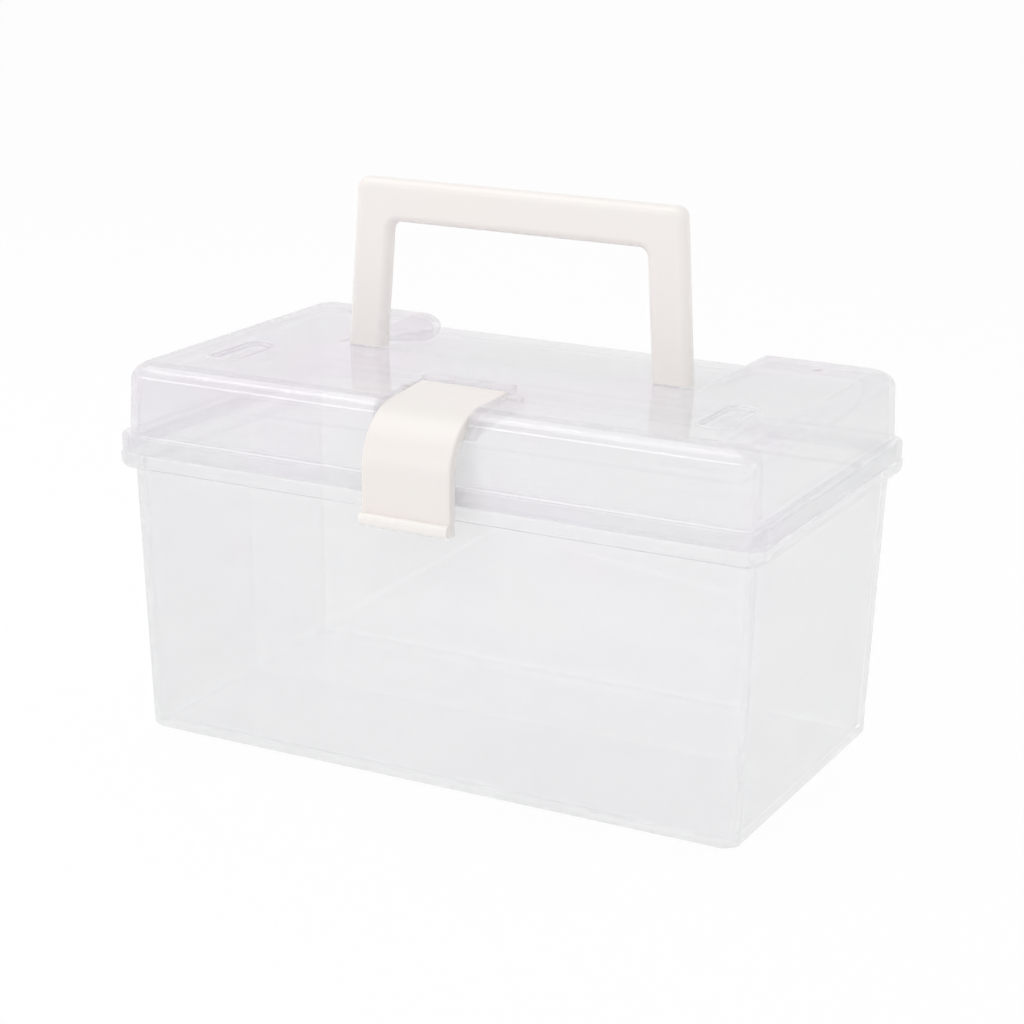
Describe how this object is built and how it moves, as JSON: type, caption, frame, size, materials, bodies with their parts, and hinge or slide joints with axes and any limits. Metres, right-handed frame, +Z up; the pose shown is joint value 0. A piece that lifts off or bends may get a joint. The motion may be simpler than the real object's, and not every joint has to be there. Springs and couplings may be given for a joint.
{
  "type": "carry case",
  "caption": "Clear plastic storage box with a hinged lid, a folding carry handle that lies in a recess of the lid, and a strap latch over the front rim.",
  "frame": {"origin": "middle of the tub's underside, on the table", "axes": "+X to the right along the case, +Y from the latch to the hinges, +Z up"},
  "size_m": [0.2486, 0.1574, 0.2005],
  "materials": {
    "clear_plastic": "clear polished polystyrene, faintly cool",
    "ivory_plastic": "opaque warm white, semi-gloss moulded"
  },
  "bodies": {
    "tub": {"tub": "clear_plastic", "hinge_pin_left": "clear_plastic", "hinge_pin_right": "clear_plastic"},
    "lid": {"lid": "clear_plastic", "latch_pin": "ivory_plastic"},
    "handle": {"handle": "ivory_plastic", "handle_pin_left": "ivory_plastic", "handle_pin_right": "ivory_plastic"},
    "latch": {"latch": "ivory_plastic"}
  },
  "joints": [
    {"name": "lid_hinge", "type": "hinge", "parent": "tub", "child": "lid", "pos_m": [0, 0.0742, 0.1058], "axis": [-1, 0, 0], "range_deg": [0, 115]},
    {"name": "handle_fold", "type": "hinge", "parent": "lid", "child": "handle", "pos_m": [0, 0.002, 0.1422], "axis": [-1, 0, 0], "range_deg": [0, 95]},
    {"name": "latch_swing", "type": "hinge", "parent": "lid", "child": "latch", "pos_m": [0, -0.03748, 0.13621], "axis": [-1, 0, 0], "range_deg": [0, 90]}
  ]
}
